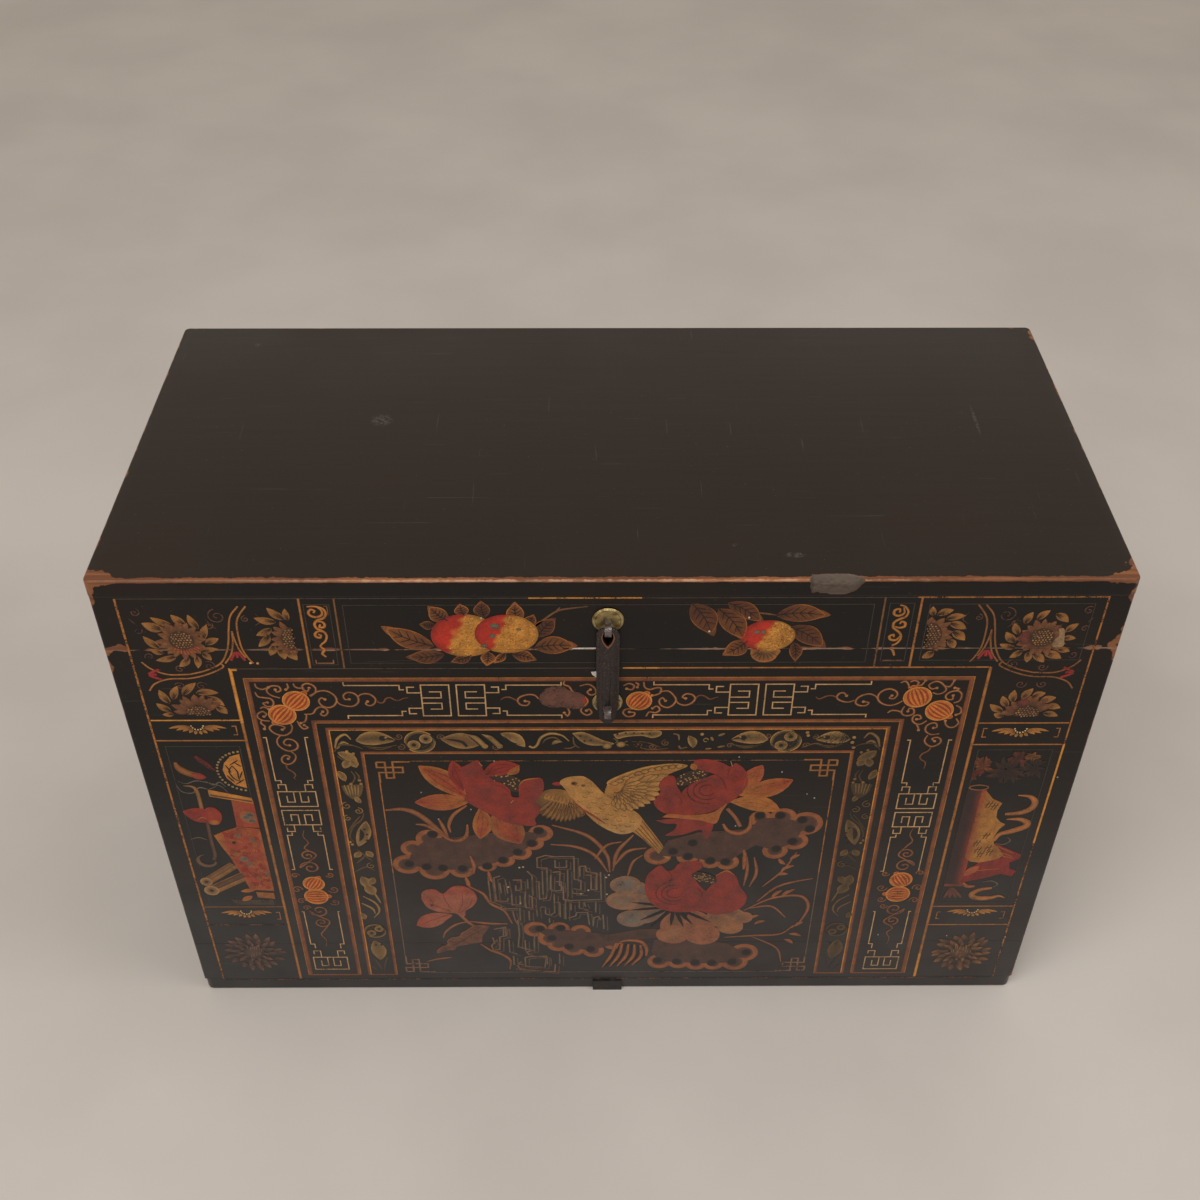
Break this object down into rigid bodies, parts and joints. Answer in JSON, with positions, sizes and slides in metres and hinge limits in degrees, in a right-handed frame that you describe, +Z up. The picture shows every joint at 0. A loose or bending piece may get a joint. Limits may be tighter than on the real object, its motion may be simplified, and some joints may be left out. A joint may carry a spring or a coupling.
{
  "type": "chinese trunk",
  "caption": "Black-lacquered wooden storage trunk with a painted front, a hinged lid, an iron hasp and staple, and bail handles on the sides.",
  "frame": {"origin": "middle of the underside, on the floor", "axes": "+X along the width, to the right of someone facing the front; the front faces -Y; +Z up"},
  "size_m": [0.9614, 0.4605, 0.6199],
  "materials": {
    "black_lacquer": "worn black lacquer over softwood boards",
    "base_wood": "worn dark lacquer over a softwood board",
    "wrought_iron": "rough dark wrought iron",
    "aged_brass": "dull aged brass"
  },
  "bodies": {
    "case": {"base_board": "base_wood", "front_foot_plank": "black_lacquer", "front_plank": "black_lacquer", "back_foot_plank": "black_lacquer", "back_plank": "black_lacquer", "left_side_board": "black_lacquer", "right_side_board": "black_lacquer", "base_clip": "wrought_iron", "staple_washer": "aged_brass", "hasp_staple": "wrought_iron", "left_hinge_case_leaf": "wrought_iron", "right_hinge_case_leaf": "wrought_iron", "left_hinge_pin": "wrought_iron", "right_hinge_pin": "wrought_iron", "left_handle_front_washer": "wrought_iron", "left_handle_rear_washer": "wrought_iron", "right_handle_front_washer": "wrought_iron", "right_handle_rear_washer": "wrought_iron", "left_handle_front_eye": "wrought_iron", "left_handle_rear_eye": "wrought_iron", "right_handle_front_eye": "wrought_iron", "right_handle_rear_eye": "wrought_iron"},
    "lid": {"lid_top_board": "black_lacquer", "lid_front_rim": "black_lacquer", "lid_back_rim": "black_lacquer", "lid_left_rim": "black_lacquer", "lid_right_rim": "black_lacquer", "hasp_washer": "aged_brass", "hasp_eye": "wrought_iron", "left_hinge_lid_leaf": "wrought_iron", "right_hinge_lid_leaf": "wrought_iron"},
    "hasp": {"hasp_strap": "wrought_iron"},
    "left_handle": {"left_bail": "wrought_iron"},
    "right_handle": {"right_bail": "wrought_iron"}
  },
  "joints": [
    {"name": "lid_hinge", "type": "hinge", "parent": "case", "child": "lid", "pos_m": [0, 0.2198, 0.53595], "axis": [-1, 0, 0], "range_deg": [0, 105]},
    {"name": "hasp_swing", "type": "hinge", "parent": "lid", "child": "hasp", "pos_m": [-0.004, -0.22498, 0.56795], "axis": [-1, 0, 0], "range_deg": [0, 170]},
    {"name": "left_handle_swing", "type": "hinge", "parent": "case", "child": "left_handle", "pos_m": [-0.4745, 0, 0.37], "axis": [0, 1, 0], "range_deg": [0, 170]},
    {"name": "right_handle_swing", "type": "hinge", "parent": "case", "child": "right_handle", "pos_m": [0.4745, 0, 0.37], "axis": [0, -1, 0], "range_deg": [0, 170]}
  ]
}
